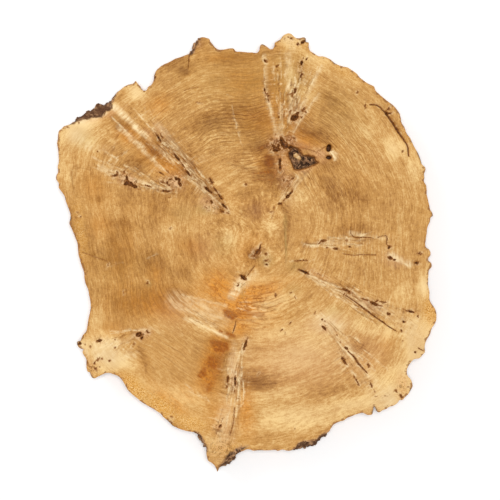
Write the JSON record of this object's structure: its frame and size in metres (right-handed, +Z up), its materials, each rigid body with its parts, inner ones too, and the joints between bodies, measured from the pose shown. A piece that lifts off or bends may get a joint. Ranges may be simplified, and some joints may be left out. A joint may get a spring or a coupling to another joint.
{
  "type": "tree burl slab",
  "caption": "Live-edge slab sawn straight across a tree burl, with a lumpy rim, patches of bark, an ingrown bark pocket and rim cracks.",
  "frame": {"origin": "middle of the slab's bounding box, on the plane of the lower sawn face that it rests on", "axes": "+Z up through the thickness, out of the figured upper sawn face; +Y along the slab's longest side, towards the top of the picture; +X to the right of the picture"},
  "size_m": [0.7804, 0.901, 0.06],
  "materials": {
    "burl_wood": "sanded, unvarnished light golden burl wood with cream and brown figure; rough grey-brown bark on parts of the edge"
  },
  "bodies": {
    "root": {"burl_slab": "burl_wood"}
  },
  "joints": []
}
